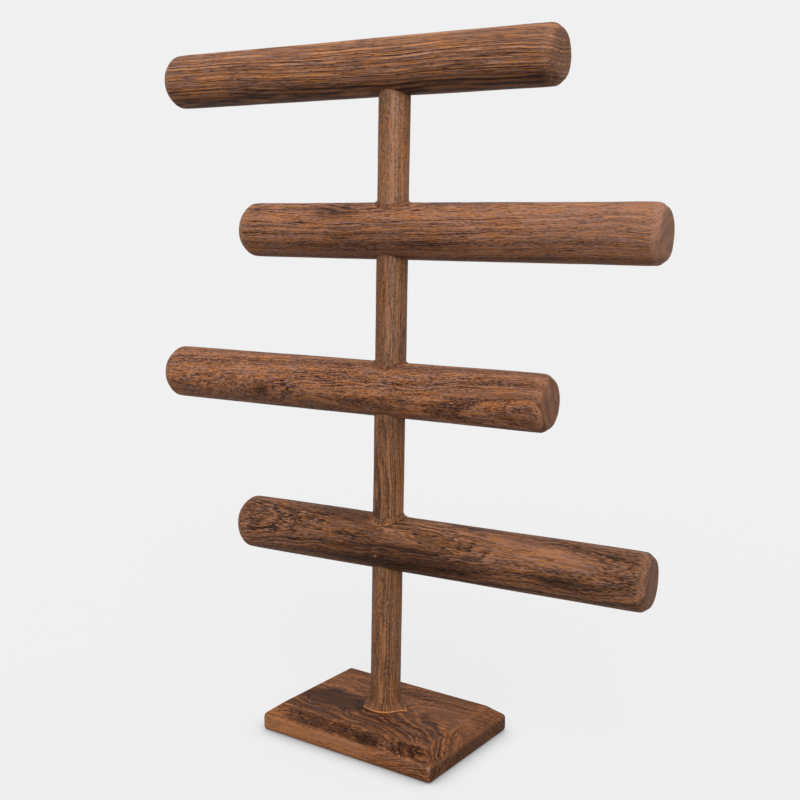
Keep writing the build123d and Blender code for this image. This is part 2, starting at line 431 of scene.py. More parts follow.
@dataclass(frozen=True)
class WoodFinish:
    """One piece's wood: its colours and the size of its figure, in millimetres."""

    slot: str
    seed: float
    dark: Colour = (0.044, 0.017, 0.010)
    ground: Colour = (0.215, 0.090, 0.048)
    light: Colour = (0.430, 0.188, 0.098)
    line: Colour = (0.600, 0.250, 0.105)
    rubbed_and_lit: Colour = (0.360, 0.190, 0.120)
    waver: float = 3.0
    band_width: float = 5.0
    band_amount: float = 0.3
    fine_spacing: float = 0.55
    fine_amount: float = 0.9
    line_spacing: float = 3.0
    line_amount: float = 0.5
    dash_length: float = 5.0
    dash_width: float = 0.6
    dash_amount: float = 1.0
    fleck_length: float = 4.5
    fleck_width: float = 0.5
    fleck_amount: float = 0.6
    fibre_amount: float = 0.7
    pore_amount: float = 0.8
    relief: float = 0.30
    gloss: float = 0.12

    def build(self, grain: Tree, wear: Tree, run: GrainRun, turn: float, middle: Vector) -> Material:
        """Make the material for a piece in its place.

        Args:
            grain: the shared grain.
            wear: the shared wear.
            run: whether the grain runs level or upright.
            turn: the piece's turn about the post, in radians.
            middle: the point of the piece that the grain is centred on, in metres.

        Returns:
            The material.
        """
        material, sheet = new_material(self.slot)
        rotation = run.value if run is GrainRun.UPRIGHT else (0.0, 0.0, -turn)
        object_place = sheet.node("ShaderNodeTexCoord").outputs["Object"]
        centred = sheet.vector("SUBTRACT", object_place, tuple(middle))
        position = sheet.mapped(centred, (1.0 / MM, 1.0 / MM, 1.0 / MM), rotation)

        inputs = {"position": position, **{name: sheet.stored(name) for name in GRAIN_VALUES}}
        inputs.update({name: getattr(self, name) for name in GRAIN_SIZES + GRAIN_COLOURS})
        fresh = sheet.group(grain, inputs)
        inputs = {"position": position, **{name: sheet.stored(name) for name in WEAR_VALUES}}
        inputs.update({"colour": fresh["colour"], "roughness": fresh["roughness"], "rubbed_and_lit": self.rubbed_and_lit})
        wear_and_painted_light = sheet.group(wear, inputs)
        finish_surface(sheet, wear_and_painted_light["colour"], wear_and_painted_light["roughness"], fresh["relief"], self.relief, self.gloss)
        return material


@dataclass(frozen=True)
class PlainFinish:
    """A finish of small pieces: glue, filler, steel.

    Its colour and roughness change, and its rim breaks up, over a range of the mottle's noise each.
    """

    slot: str
    low: Colour
    high: Colour
    grain_size: Point
    roughness: Point
    relief: float
    gloss: float = 0.15
    metallic: float = 0.0
    rim: Colour | None = None
    mottle_range: Point = (0.38, 0.62)
    rim_range: Point = (0.32, 0.44)
    roughness_range: Point = (0.3, 0.7)

    def build(self) -> Material:
        """Make the material, mottled between its two colours and brighter on a stored rim.

        Returns:
            The material.
        """
        material, sheet = new_material(self.slot)
        place = sheet.node("ShaderNodeTexCoord").outputs["Object"]
        level, upright = (1.0 / (size * MM) for size in self.grain_size)
        broken = sheet.noise(sheet.mapped(place, (level, level, upright)), 3.0, 0.65)
        mottle = sheet.add(broken, sheet.stored("streak"))
        colour = sheet.mix(sheet.between(mottle, *self.mottle_range), self.low, self.high)
        rim = sheet.times(sheet.stored("rim"), sheet.between(broken, *self.rim_range))
        colour = sheet.mix(rim, colour, self.rim or self.high)
        roughness = sheet.between(mottle, *self.roughness_range, *self.roughness)
        inputs = finish_surface(sheet, colour, roughness, mottle, self.relief, self.gloss)
        inputs["Metallic"].default_value = self.metallic
        return material


GLUE = PlainFinish(
    "joint_glue", low=(0.060, 0.024, 0.012), high=(0.235, 0.098, 0.043), grain_size=(0.6, 4.0),
    roughness=(0.55, 0.7), relief=0.3, rim=(0.540, 0.215, 0.078),
)
FILLER = PlainFinish(
    "hole_filler", low=(0.150, 0.064, 0.032), high=(0.320, 0.138, 0.066), grain_size=(0.7, 0.7),
    roughness=(0.6, 0.8), relief=0.1,
)
BRAD_STEEL = PlainFinish(
    "brad_steel", low=(0.500, 0.490, 0.470), high=(0.620, 0.610, 0.590), grain_size=(0.9, 0.9),
    roughness=(0.25, 0.4), relief=0.02, gloss=0.5, metallic=1.0,
)
SCREW_STEEL = PlainFinish(
    "screw_steel", low=(0.520, 0.480, 0.380), high=(0.660, 0.630, 0.550), grain_size=(1.2, 1.2),
    roughness=(0.28, 0.45), relief=0.03, gloss=0.5, metallic=1.0,
)

TOP_BAR_WOOD = WoodFinish(
    "top_bar_wood", seed=3.1, ground=(0.200, 0.086, 0.047), light=(0.350, 0.158, 0.086),
    line=(0.600, 0.262, 0.115), waver=0.9, band_amount=0.35, band_width=3.5, line_spacing=2.0,
    line_amount=0.85, fine_spacing=0.75, fine_amount=0.9, dash_length=9.0, dash_amount=0.3,
    fleck_length=7.0, fleck_width=0.7, fleck_amount=0.55, pore_amount=0.6,
)
# Its rubbed_and_lit colour is that of the wear at its ends and of the painted sheen on its right.
SECOND_BAR_WOOD = WoodFinish(
    "second_bar_wood", seed=17.4, ground=(0.235, 0.102, 0.057), rubbed_and_lit=(0.400, 0.220, 0.150),
    waver=2.0, band_amount=0.4, fine_spacing=0.38, fine_amount=1.1, line_amount=0.3,
    dash_amount=0.4, fleck_length=2.6, fleck_width=0.42, fleck_amount=0.8, pore_amount=0.6,
)
THIRD_BAR_WOOD = WoodFinish(
    "third_bar_wood", seed=29.2, dark=(0.050, 0.018, 0.010), line_amount=0.45, fine_spacing=0.5,
    fine_amount=0.8, dash_length=4.0, fleck_length=2.0, fleck_width=0.5, fleck_amount=1.1,
)
BOTTOM_BAR_WOOD = WoodFinish(
    "bottom_bar_wood", seed=41.7, dark=(0.024, 0.011, 0.007), ground=(0.148, 0.062, 0.032),
    light=(0.340, 0.152, 0.080), line=(0.450, 0.190, 0.082), waver=3.0, band_width=3.2,
    band_amount=0.7, fine_spacing=0.6, fine_amount=1.1, line_amount=0.3, fleck_length=3.0,
    fleck_width=0.55, fleck_amount=0.8,
)
# Its rubbed_and_lit colour is the pale colour of the painted sheen down the post's front.
POST_WOOD = WoodFinish(
    "post_wood", seed=53.9, dark=(0.065, 0.027, 0.014), ground=(0.228, 0.096, 0.040),
    light=(0.415, 0.196, 0.092), line=(0.540, 0.235, 0.100), rubbed_and_lit=(0.520, 0.300, 0.212),
    waver=1.6, band_width=2.6, band_amount=0.6, fine_spacing=0.5, fine_amount=0.55, dash_length=9.0,
    dash_amount=0.5, fleck_length=1.6, fleck_width=0.55, fleck_amount=0.8, fibre_amount=0.6,
    pore_amount=0.45, gloss=0.2,
)
BOARD_WOOD = WoodFinish(
    "board_wood", seed=67.3, dark=(0.026, 0.010, 0.006), ground=(0.146, 0.056, 0.026),
    light=(0.330, 0.135, 0.058), line=(0.560, 0.215, 0.074), rubbed_and_lit=(0.425, 0.182, 0.082),
    gloss=0.08, waver=1.5, band_amount=0.25, fine_spacing=0.42, fine_amount=0.6, line_spacing=1.8,
    line_amount=0.6, dash_amount=0.6, fleck_length=2.4, fleck_width=0.6, fleck_amount=0.7,
)


# Shapes

# The slow waves in a log's rings: how many times shorter each is than the longest, and the most
# that they turn across the grain, in radians for each millimetre.
LOG_HARMONICS = (1.0, 1.7, 3.1, 5.3)
WAVE_TILT = 0.09
# How many times each wave of a surface's unevenness goes round the piece.
WAVES_ROUND = (0, 1, 2, 3, 4, 6, 9)
# The columns of a round cutter, and the angle from which an edge stays sharp.
CUTTER_COLUMNS = 96
SHARP_EDGE = math.radians(50.0)


def unit(value: Array) -> Array:
    """Keep a value between 0 and 1."""
    return np.clip(value, 0.0, 1.0)


def bell(distance: Array, reach: float) -> Array:
    """A bump that is 1 at no distance and has fallen to 1/e a reach away."""
    return np.exp(-((distance / reach) ** 2))


def angles_round(columns: int) -> Array:
    """Evenly spaced angles over one turn, as one row."""
    return np.linspace(0.0, TURN, columns, endpoint=False)[None, :]


def angle_from(around: Array, start: float) -> Array:
    """Angles measured from a starting angle, between half a turn back and half a turn on."""
    return (around - start + math.pi) % TURN - math.pi


def post_radius() -> float:
    """The post's radius in millimetres, from its box."""
    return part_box("post")[1].x / MM


@dataclass(frozen=True)
class Flame:
    """A smooth light figure on the face of a piece, and the swelling of the rings round it."""

    start: Point
    end: Point
    half_width: float
    taper_start: float = 1.0
    strength: float = 1.0
    swelling: float = 0.0

    def masks(self, along: Array, height: Array) -> tuple[Array, Array]:
        """How much each point belongs to the flame, and how much the rings swell there.

        A point's share is its place along the flame's middle line, from 0 to 1. The flame's half
        width falls to nothing at its end as the square root of what is left, and in its first
        quarter in the same way by the taper. Its mask falls off smoothly over that half width. The
        swelling is a bell over the distance from the middle line in flame sizes.

        Args:
            along: place along the grain.
            height: place across the grain on the face.

        Returns:
            The mask from 0 to 1 and the swelling in millimetres.
        """
        run = np.array(self.end) - np.array(self.start)
        length = float(np.hypot(*run))
        from_start = (along - self.start[0], height - self.start[1])
        share = (from_start[0] * run[0] + from_start[1] * run[1]) / length**2
        off = (from_start[1] * run[0] - from_start[0] * run[1]) / length
        inside = unit(share)
        start_fall = np.sqrt(unit(inside * 4.0)) * self.taper_start + 1.0 - self.taper_start
        half = self.half_width * np.sqrt(1.0 - inside) * start_fall + 0.3
        beyond = np.abs(share - inside) * length
        distance = np.hypot(off, beyond) / half
        mask = unit(1.7 - 1.2 * distance) * self.strength
        reach = (off / (1.6 * self.half_width)) ** 2 + ((share - 0.5) / 0.6) ** 2
        return mask, self.swelling * np.exp(-reach)


@dataclass(frozen=True)
class Patch:
    """A patch of smoke, of painted shade or of painted sheen: its middle, its reach along and across
    the grain, its strength.
    """

    along: float
    height: float
    reach_along: float
    reach_height: float
    strength: float = 1.0

    def mask(self, along: Array, height: Array) -> Array:
        """How strong the patch is at every point: a bell over the distance, flattened on top.

        Args:
            along: place along the grain.
            height: place across the grain on the face.

        Returns:
            The strength of the patch there.
        """
        far_along = (along - self.along) / self.reach_along
        far_across = (height - self.height) / self.reach_height
        return self.strength * unit(1.5 * np.exp(-(far_along**2 + far_across**2)))


@dataclass(frozen=True)
class Figure:
    """How a piece was sawn from its log: where the log's middle ran beside it, in millimetres."""

    middle: Point
    lean: Point
    wander: float
    wavelength: float
    seed: int
    flames: tuple[Flame, ...] = ()
    stains_and_shades: tuple[Patch, ...] = ()
    painted_sheens: tuple[Patch, ...] = ()

    def rings(self, along: Array, across: Array, up: Array) -> Array:
        """Distance of each point from the log's middle line.

        The line leans, so it drifts in proportion to the way along. Slow sine waves in three
        dimensions are added to the distance from it.

        Args:
            along: place along the grain.
            across: place across it, level.
            up: place across it, upright.

        Returns:
            The distance of every point.
        """
        across_gap = across - self.middle[0] - self.lean[0] * along
        up_gap = up - self.middle[1] - self.lean[1] * along
        distance = np.hypot(across_gap, up_gap)
        dice = np.random.default_rng(self.seed)
        for harmonic in LOG_HARMONICS:
            length = self.wavelength / harmonic
            tilt_across, tilt_up, start = dice.uniform(-1.0, 1.0, 3) * (WAVE_TILT, WAVE_TILT, math.pi)
            wave = np.sin(TURN * along / length + tilt_across * across + tilt_up * up + start)
            distance = distance + self.wander / harmonic * wave
        return distance

    def values(self, along: Array, across: Array, up: Array, height: Array, shown: Array) -> dict[str, Array]:
        """The figure's numbers at every point, as the wood's materials read them.

        Args:
            along: place along the grain.
            across: place across it, level.
            up: place across it, upright.
            height: place across it on the face that the flames and stains are drawn on.
            shown: 1 on that face, 0 on the others.

        Returns:
            Ring, calm_and_lit, stain_and_shade with its painted shade, and wear_and_painted_light with
            its painted sheen, by name.
        """
        ring = self.rings(along, across, up)
        blank = 0.0 * ring
        calm_and_lit = blank
        for flame in self.flames:
            mask, swelling = flame.masks(along, height)
            calm_and_lit = np.maximum(calm_and_lit, mask * shown)
            ring = ring + swelling * shown
        stain_and_shade, wear_and_painted_light = (
            np.max([blank, *(patch.mask(along, height) * shown for patch in patches)], axis=0)
            for patches in (self.stains_and_shades, self.painted_sheens)
        )
        return {"ring": ring, "calm_and_lit": calm_and_lit, "stain_and_shade": stain_and_shade, "wear_and_painted_light": wear_and_painted_light}


def brushed(rings: Array, depth: float | Array, spacing: float) -> Array:
    """How far brushing took the soft wood down between its ridges: a sine wave over the rings."""
    return depth * (np.sin(TURN * rings / spacing) - 1.0)


def unevenness(around: Array, along: Array, seed: int, longest: float) -> Array:
    """Smooth unevenness between about -1 and 1 on a closed round.

    It is a sum of sine waves, each with a whole number of turns round the piece and its own wave
    along it, so it meets itself where the round closes.

    Args:
        around: angle of each point, in radians.
        along: its place along the piece, in millimetres.
        seed: number that sets the waves.
        longest: length of the longest wave, in millimetres.

    Returns:
        The unevenness at each point.
    """
    dice = np.random.default_rng(seed)
    total = np.zeros(np.broadcast(around, along).shape)
    for turns in WAVES_ROUND:
        length = longest / dice.uniform(1.0, 2.0 + turns)
        start_along, start_around = dice.uniform(0.0, TURN, 2)
        wave = np.sin(TURN * along / length + start_along + turns * around + start_around)
        total = total + wave / (1.0 + 0.5 * turns)
    return total / 3.0


def graze(ring: Array, place: Array, steep: float = 0.5) -> Array:
    """How nearly a surface lies along the rings, from 0 where it cuts them to 1 where it grazes.

    The ring's slope over the surface is taken from differences along the grid's rows and columns.
    Graze is 1 without a slope and 0 from a steep one.

    Args:
        ring: the ring's distance at every point of a grid whose columns close on themselves.
        place: the points, rows by columns by three, in the same unit.
        steep: the slope from which graze is 0.

    Returns:
        The graze at every point.
    """
    tiny = 1e-6
    row_step = np.linalg.norm(np.gradient(place, axis=0), axis=-1) + tiny
    column_step = np.linalg.norm(np.roll(place, -1, 1) - np.roll(place, 1, 1), axis=-1) + tiny
    row_slope = np.gradient(ring, axis=0) / row_step
    column_slope = (np.roll(ring, -1, 1) - np.roll(ring, 1, 1)) / column_step
    return unit(1.0 - np.hypot(row_slope, column_slope) / steep)


def soft_outline(corners: list[Point], radii: list[float], spacing: float) -> Array:
    """Points along an open outline whose corners are rounded.

    Each inner corner is replaced by the circular arc that touches both of its sides, and what is
    left of the sides is divided evenly.

    Args:
        corners: the outline's corners, ends included.
        radii: the radius at each inner corner.
        spacing: about how far apart the points are.

    Returns:
        An array of points, two columns.
    """
    path = [np.array(corners[0], float)]
    for before, corner, after, radius in zip(corners[:-2], corners[1:-1], corners[2:], radii):
        here = np.array(corner, float)
        back = np.array(before, float) - here
        forth = np.array(after, float) - here
        back /= np.linalg.norm(back)
        forth /= np.linalg.norm(forth)
        half_angle = math.acos(float(np.clip(back @ forth, -1.0, 1.0))) / 2.0
        setback = radius / math.tan(half_angle)
        bisector = back + forth
        centre = here + bisector / np.linalg.norm(bisector) * radius / math.sin(half_angle)
        start = here + back * setback - centre
        end = here + forth * setback - centre
        sweep = math.pi - 2.0 * half_angle
        turn = math.copysign(1.0, start[0] * end[1] - start[1] * end[0])
        steps = max(2, round(sweep * radius / spacing))
        angles = np.linspace(0.0, sweep, steps + 1) * turn
        cosine, sine = np.cos(angles), np.sin(angles)
        arc = np.stack([start[0] * cosine - start[1] * sine, start[0] * sine + start[1] * cosine], axis=1)
        path.append(centre + arc)
    path.append(np.array(corners[-1], float))
    joined = [np.atleast_2d(path[0])]
    for stretch in path[1:]:
        stretch = np.atleast_2d(stretch)
        gap = np.linalg.norm(stretch[0] - joined[-1][-1])
        steps = max(1, round(gap / spacing))
        shares = np.linspace(0.0, 1.0, steps + 1)[1:, None]
        joined.append(joined[-1][-1] * (1.0 - shares) + stretch[0] * shares)
        joined.append(stretch[1:])
    return np.concatenate(joined)


def rod_outline(
    low: float, high: float, radius: float, chamfer: Point, radii: Point, spacing: float
) -> tuple[Array, Array]:
    """Half outline of a rod with chamfered ends, from the middle of one end to that of the other.

    Args:
        low: where the rod starts, in millimetres.
        high: where it ends.
        radius: its radius.
        chamfer: the chamfer's length along the rod and its depth.
        radii: how far the rim of an end is rounded, and how far the shoulder behind its chamfer.
        spacing: about how far apart the points are.

    Returns:
        Place along the rod and distance from its axis, one row for each point.
    """
    (length, depth), (rim, shoulder) = chamfer, radii
    start = [(low, POLE_RADIUS), (low, radius - depth), (low + length, radius)]
    end = [(high - length, radius), (high, radius - depth), (high, POLE_RADIUS)]
    outline = soft_outline(start + end, [rim, shoulder, shoulder, rim], spacing)
    return outline[:, :1], outline[:, 1:]


class Ends(Enum):
    """How the first and last rows of a round grid are closed."""

    POLES = "each end runs to one point"
    RING = "the last row joins the first"


def grid_faces(rows: int, columns: int, ends: Ends) -> tuple[Array, Array]:
    """Faces of a grid whose columns close on themselves.

    Args:
        rows: number of rows.
        columns: number of columns.
        ends: how the rows are closed. Poles are the two points after the grid's own.

    Returns:
        The four-sided faces and the three-sided faces, as rows of point numbers.
    """
    first = np.arange(rows * columns).reshape(rows, columns)
    below = first if ends is Ends.RING else first[:-1]
    above = np.roll(first, -1, axis=0) if ends is Ends.RING else first[1:]
    quads = np.stack([below, np.roll(below, -1, 1), np.roll(above, -1, 1), above], axis=-1).reshape(-1, 4)
    if ends is Ends.RING:
        return quads, np.zeros((0, 3), int)
    start, end = rows * columns, rows * columns + 1
    low_row, high_row = first[0], first[-1]
    low = np.stack([np.full(columns, start), np.roll(low_row, -1), low_row], axis=1)
    high = np.stack([high_row, np.roll(high_row, -1), np.full(columns, end)], axis=1)
    return quads, np.concatenate([low, high])


def make_mesh(name: str, points: Array, quads: Array, triangles: Array, values: dict[str, Array]) -> Piece:
    """Make an object from arrays.

    Args:
        name: the object's name.
        points: its points in metres, three columns.
        quads: four-sided faces.
        triangles: three-sided faces.
        values: numbers to store at every point, by name.

    Returns:
        The new object, with smooth faces.
    """
    mesh = bpy.data.meshes.new(name)
    mesh.vertices.add(len(points))
    mesh.vertices.foreach_set("co", points.astype(np.float32).ravel())
    corners = np.concatenate([quads.ravel(), triangles.ravel()]).astype(np.int32)
    mesh.loops.add(len(corners))
    mesh.loops.foreach_set("vertex_index", corners)
    starts = np.concatenate([np.arange(len(quads)) * 4, quads.size + np.arange(len(triangles)) * 3])
    mesh.polygons.add(len(starts))
    mesh.polygons.foreach_set("loop_start", starts.astype(np.int32))
    mesh.polygons.foreach_set("use_smooth", np.ones(len(starts), bool))
    for value_name, numbers in values.items():
        layer = mesh.attributes.new(value_name, "FLOAT", "POINT")
        layer.data.foreach_set("value", numbers.astype(np.float32).ravel())
    mesh.update(calc_edges=True)
    mesh.validate()
    piece = bpy.data.objects.new(name, mesh)
    bpy.context.scene.collection.objects.link(piece)
    return piece


def round_solid(name: str, place: Array, values: dict[str, Array]) -> Piece:
    """Close a grid of points into a solid with a point at each end.

    Args:
        name: the object's name.
        place: rows by columns by three, in metres.
        values: numbers at every point of the grid, by name.

    Returns:
        The new object.
    """
    poles = place[[0, -1]].mean(axis=1)
    points = np.concatenate([place.reshape(-1, 3), poles])
    full = {key: np.concatenate([grid.ravel(), grid[[0, -1]].mean(axis=1)]) for key, grid in values.items()}
    return make_mesh(name, points, *grid_faces(*place.shape[:2], Ends.POLES), full)


def upright_grid(radius: Array, around: Array, height: Array) -> Array:
    """Points at a radius and a height round an upright line, rows by columns by three."""
    return np.stack([radius * np.cos(around), radius * np.sin(around), height + 0.0 * around], axis=-1)


def cut_round(piece: Piece, outline: list[Point], base: Vector) -> None:
    """Take a turned hole out of a piece.

    The cutter is its half outline carried once round an upright line.

    Args:
        piece: the closed piece.
        outline: (radius, height) pairs from the lowest to the highest, in millimetres.
        base: the point on the line that heights are measured from, in metres.
    """
    radius, height = (np.array(column)[:, None] for column in zip(*outline))
    grid = upright_grid(radius, angles_round(CUTTER_COLUMNS), height)
    cutter = round_solid("cutter", grid * MM + np.array(base), {})
    modifier = piece.modifiers.new("hole", "BOOLEAN")
    modifier.operation = "DIFFERENCE"
    modifier.solver = "MANIFOLD"
    modifier.object = cutter
    graph = bpy.context.evaluated_depsgraph_get()
    finished = bpy.data.meshes.new_from_object(piece.evaluated_get(graph))
    piece.modifiers.clear()
    piece.data = finished
    bpy.data.objects.remove(cutter)
    finished.set_sharp_from_angle(angle=SHARP_EDGE)


# Pieces


@dataclass
class Workshop:
    """What every piece is made with: the shared groups and the ways to dress and fit a piece."""

    grain: Tree
    wear: Tree

    def fit(self, piece: Piece, node: str, material: Material) -> None:
        """Dress a finished piece and put it in its node's place.

        Args:
            piece: the finished piece.
            node: the node it stands for.
            material: its finish.
        """
        piece.data.materials.clear()
        piece.data.materials.append(material)
        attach(piece, BODY)
        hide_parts(node)
        log.info("%s: %d faces", piece.name, len(piece.data.polygons))

    def fit_wood(
        self, piece: Piece, node: str, finish: WoodFinish, run: GrainRun, turn: float, middle: Vector
    ) -> None:
        """Give a wooden piece its own wood and put it in its node's place.

        Args:
            piece: the finished piece.
            node: the node it stands for.
            finish: its wood.
            run: whether the grain runs level or upright.
            turn: the piece's turn about the post, in radians.
            middle: the point that the grain is centred on, in metres.
        """
        self.fit(piece, node, finish.build(self.grain, self.wear, run, turn, middle))


@dataclass
class RoundBar:
    """One horizontal bar with softly chamfered ends and a bore for the post."""

    node: str
    finish: WoodFinish
    figure: Figure
    seed: int
    wear: float = 0.4
    wear_reach: float = 3.0
    chamfer_length: float = 3.8
    chamfer_depth: float = 2.9
    shoulder_radius: float = 3.4
    rim_radius: float = 1.6
    spacing: float = 0.66
    columns: int = 208
    swing: float = 0.12
    swing_length: float = 210.0
    end_reach: float = 7.0
    end_swing: float = 0.22
    end_bow: float = 0.3
    end_swing_length: float = 31.0
    ridge: float = 0.04
    ridge_spacing: float = 1.9
    figure_fade: float = 8.0
    cut_beyond: float = 2.0

    def __post_init__(self) -> None:
        """Read the bar's place from the record's free ends."""
        ends = {m["name"]: m for m in frame["record"]["mounts"]}
        left = Vector(ends[f"{self.node}_left_arm"]["pos_m"])
        right = Vector(ends[f"{self.node}_right_arm"]["pos_m"])
        self.radius = ends[f"{self.node}_left_arm"]["dims"]["r_mm"]
        self.direction = (right - left).normalized()
        self.turn = math.atan2(self.direction.y, self.direction.x)
        self.middle = Vector((0.0, 0.0, left.z))
        self.level = round(left.z / MM, 3)
        self.reach = (-left.to_2d().length / MM, right.to_2d().length / MM)

    def surface(self) -> tuple[Array, Array, Array]:
        """Place of every surface point in the bar's own frame.

        The half outline runs from the middle of the left end, over its rim and shoulder, along the
        bar and round the right end the same way. Each point of it is carried round the axis, with
        a radius and a place along that are made a little uneven, most of all at the ends.

        Returns:
            Place along, across and up, each rows by columns, in millimetres.
        """
        left, right = self.reach
        chamfer = (self.chamfer_length, self.chamfer_depth)
        radii = (self.rim_radius, self.shoulder_radius)
        along, radius = rod_outline(left, right, self.radius, chamfer, radii, self.spacing)
        around = angles_round(self.columns)
        near_end = bell(np.minimum(along - left, right - along), self.end_reach)
        share = radius / self.radius
        dent = unevenness(around, along, self.seed, self.swing_length)
        hand = unevenness(around, np.sign(along) * 50.0, self.seed + 1, self.end_swing_length)
        radius = radius + share * (self.swing * (dent - 1.0) + self.end_swing * near_end * (hand - 1.0))
        bow = near_end * self.end_bow * (hand - 1.0) * np.sign(along)
        along = along + bow * share + 0.0 * around
        across, up = radius * np.cos(around), radius * np.sin(around)
        ridge = brushed(self.figure.rings(along, across, up), self.ridge, self.ridge_spacing) * share
        return along, across + ridge * np.cos(around), up + ridge * np.sin(around)

    def build(self, workshop: Workshop, bore_top: float | None = None) -> None:
        """Make the bar and fit it.

        Args:
            workshop: the shared groups.
            bore_top: how high the post's bore goes above the bar's axis, in millimetres. The bore
                goes right through where it is left out.
        """
        along, across, up = self.surface()
        side = Vector((-self.direction.y, self.direction.x, 0.0))
        place = along[..., None] * np.array(self.direction) + across[..., None] * np.array(side)
        place = place + up[..., None] * np.array((0.0, 0.0, 1.0))
        end_gap = np.minimum(along - self.reach[0], self.reach[1] - along)
        shown = unit(0.5 - across / self.figure_fade)
        values = self.figure.values(along, across, up, up, shown)
        values["end_grain"] = unit(1.0 - end_gap) * unit(self.radius - 1.0 - np.hypot(across, up))
        edge_wear = self.wear * bell(end_gap - 0.7 * self.chamfer_length, self.wear_reach)
        values["wear_and_painted_light"] = np.maximum(values["wear_and_painted_light"], edge_wear)
        values["graze"] = graze(values["ring"], place)
        bar = round_solid(self.node, place * MM + np.array(self.middle), values)
        bore = post_radius() + BORE_CLEARANCE
        through = self.radius + self.cut_beyond
        cut_round(bar, [(bore, -through), (bore, through if bore_top is None else bore_top)], self.middle)
        workshop.fit_wood(bar, self.node, self.finish, GrainRun.LEVEL, self.turn, self.middle)


@dataclass
class Post:
    """The upright round dowel that carries the bars."""

    finish: WoodFinish
    figure: Figure
    node: str = "post"
    seed: int = 88
    end_chamfer: float = 0.8
    edge_radius: float = 0.3
    spacing: float = 0.8
    columns: int = 144
    swing: float = 0.09
    swing_length: float = 160.0
    ridge: float = 0.05
    ridge_spacing: float = 1.5

    def build(self, workshop: Workshop) -> None:
        """Make the post and fit it.

        Its half outline runs from the middle of the foot, up the side and to the middle of the
        top, and is carried round the upright axis with a slightly uneven radius. Stains, painted shade
        and painted sheen are placed by the way round the post from the line that faces the front; the
        painted sheen is a narrow band of painted highlight down that line.

        Args:
            workshop: the shared groups.
        """
        low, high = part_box(self.node)
        foot, top, radius = low.z / MM, high.z / MM, post_radius()
        chamfer, radii = (self.end_chamfer, self.end_chamfer), (self.edge_radius, self.edge_radius)
        height, reach = rod_outline(foot, top, radius, chamfer, radii, self.spacing)
        around = angles_round(self.columns)
        share = reach / radius
        reach = reach + share * self.swing * (unevenness(around, height, self.seed, self.swing_length) - 1.0)
        middle = Vector((0.0, 0.0, (foot + top) / 2.0 * MM))
        along = height - middle.z / MM + 0.0 * around
        across, up = reach * np.sin(around), -reach * np.cos(around)
        way_round = radius * angle_from(around, FRONT) + 0.0 * along
        values = self.figure.values(along, across, up, way_round, 1.0 + 0.0 * along)
        reach = reach + brushed(values["ring"], share * self.ridge, self.ridge_spacing)
        place = upright_grid(reach, around, height)
        values["graze"] = graze(values["ring"], place)
        post = round_solid(self.node, place * MM, values)
        workshop.fit_wood(post, self.node, self.finish, GrainRun.UPRIGHT, 0.0, middle)


